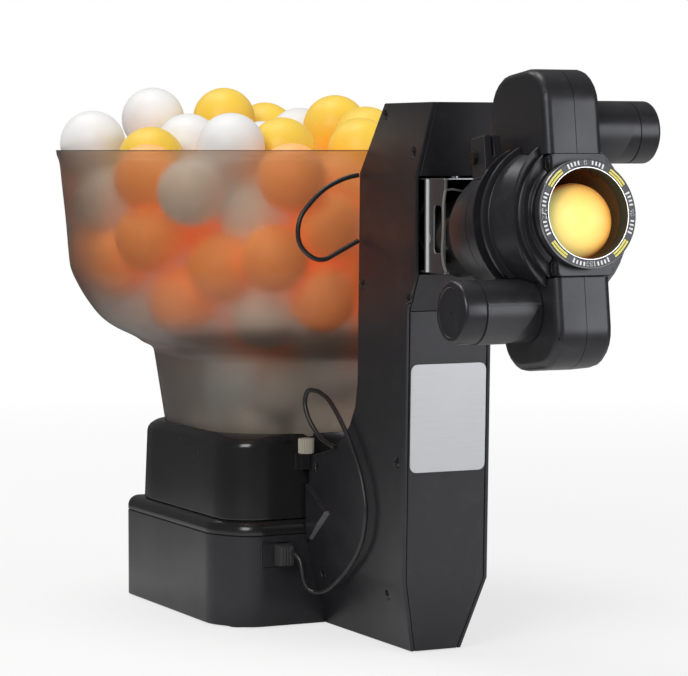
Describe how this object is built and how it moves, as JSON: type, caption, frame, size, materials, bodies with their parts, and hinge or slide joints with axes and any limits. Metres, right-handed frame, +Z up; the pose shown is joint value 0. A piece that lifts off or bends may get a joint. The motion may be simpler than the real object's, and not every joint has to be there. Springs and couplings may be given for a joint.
{
  "type": "table tennis robot",
  "caption": "Ball thrower for table tennis: smoked round hopper on a square feeder base, slim tower, and a swivelling, tilting, rolling barrel head with throwing wheels and a ringed mouth.",
  "frame": {"origin": "on the floor, under the middle of the machine's length and width", "axes": "+Z up, +Y towards the hopper's rear, so balls leave towards -Y; +X to the right seen from the mouth"},
  "size_m": [0.294, 0.5022, 0.3246],
  "materials": {
    "black": "satin moulded",
    "smoke": "frosted, see-through",
    "silver": "brushed",
    "steel": "plated",
    "grey": "satin",
    "beige": "knurled",
    "rubber": "dull",
    "orange": "moulded",
    "green": "lacquered board",
    "nylon": "moulded",
    "cord": "satin sheath"
  },
  "bodies": {
    "base": {"base_pan": "black", "base_lid": "black", "foot_front_left": "rubber", "foot_front_right": "rubber", "foot_rear_left": "rubber", "foot_rear_right": "rubber", "power_jack": "rubber", "cable_grommet": "rubber", "feeder_collar": "black", "feed_floor": "black", "feed_gearbox": "nylon", "feed_motor": "grey", "control_board": "green", "side_cover_left": "black", "side_cover_right": "black", "cover_screw_top_rear": "steel", "cover_screw_top_front": "steel", "cover_screw_sill": "steel", "cover_screw_toe": "steel", "hood_panel": "black", "tower_spine": "black", "lower_front_cover": "black", "window_sill": "black", "bearing_plate": "grey", "label_plate": "silver", "feed_duct": "black", "riser_tube": "black", "outlet_elbow": "black", "swivel_gearbox": "nylon", "swivel_motor": "grey", "lower_lead": "cord", "upper_lead": "cord"},
    "hopper": {"hopper": "smoke"},
    "feed_wheel": {"feed_wheel": "orange"},
    "thumb_nut": {"thumb_nut": "beige"},
    "yoke": {"swivel_yoke": "grey", "sector_gear": "nylon"},
    "pinion": {"swivel_pinion": "nylon"},
    "tilt": {"tilt_sleeve": "black", "tilt_pin_left": "steel", "tilt_pin_right": "steel", "rear_shroud": "black"},
    "head": {"roll_lock_screw": "steel", "barrel": "black", "ball_guide": "black", "upper_housing_left": "black", "upper_housing_right": "black", "lower_housing_left": "black", "lower_housing_right": "black", "upper_motor_cover": "black", "upper_motor": "grey", "lower_motor_cover": "black", "lower_motor": "grey", "mouth_block_upper": "black", "mouth_block_lower": "black", "dial_ring": "black"},
    "upper_wheel": {"upper_tyre": "rubber", "upper_wheel_hub": "orange"},
    "lower_wheel": {"lower_tyre": "rubber", "lower_wheel_hub": "orange"}
  },
  "joints": [
    {"name": "hopper_lift", "type": "slide", "parent": "base", "child": "hopper", "axis": [0, 0, 1], "range_m": [0, 0.12]},
    {"name": "feed_spin", "type": "hinge", "parent": "base", "child": "feed_wheel", "pos_m": [0, 0.10412, 0.08], "axis": [0, 0, 1], "continuous": true},
    {"name": "nut_turn", "type": "hinge", "parent": "base", "child": "thumb_nut", "pos_m": [-0.0288, 0.02632, 0.1073], "axis": [0, 0, 1], "continuous": true},
    {"name": "swivel", "type": "hinge", "parent": "base", "child": "yoke", "pos_m": [0, -0.10538, 0.24], "axis": [0, 0, 1], "range_deg": [-12, 12]},
    {"name": "pinion_spin", "type": "hinge", "parent": "base", "child": "pinion", "pos_m": [0, -0.07738, 0.276], "axis": [0, 0, 1], "range_deg": [-44.5, 44.5]},
    {"name": "tilt", "type": "hinge", "parent": "yoke", "child": "tilt", "pos_m": [0, -0.11871, 0.23478], "axis": [-1, 0, 0], "range_deg": [-10, 9]},
    {"name": "roll", "type": "hinge", "parent": "tilt", "child": "head", "pos_m": [0, -0.12378, 0.2354], "axis": [0, -0.9925, 0.1219], "range_deg": [-180, 180]},
    {"name": "upper_wheel_spin", "type": "hinge", "parent": "head", "child": "upper_wheel", "pos_m": [0, -0.20646, 0.2923], "axis": [1, 0, 0], "continuous": true},
    {"name": "lower_wheel_spin", "type": "hinge", "parent": "head", "child": "lower_wheel", "pos_m": [0, -0.21777, 0.20019], "axis": [1, 0, 0], "continuous": true}
  ],
  "couplings": [
    {"joint": "pinion_spin", "follows": "swivel", "ratio": -3.6667}
  ]
}
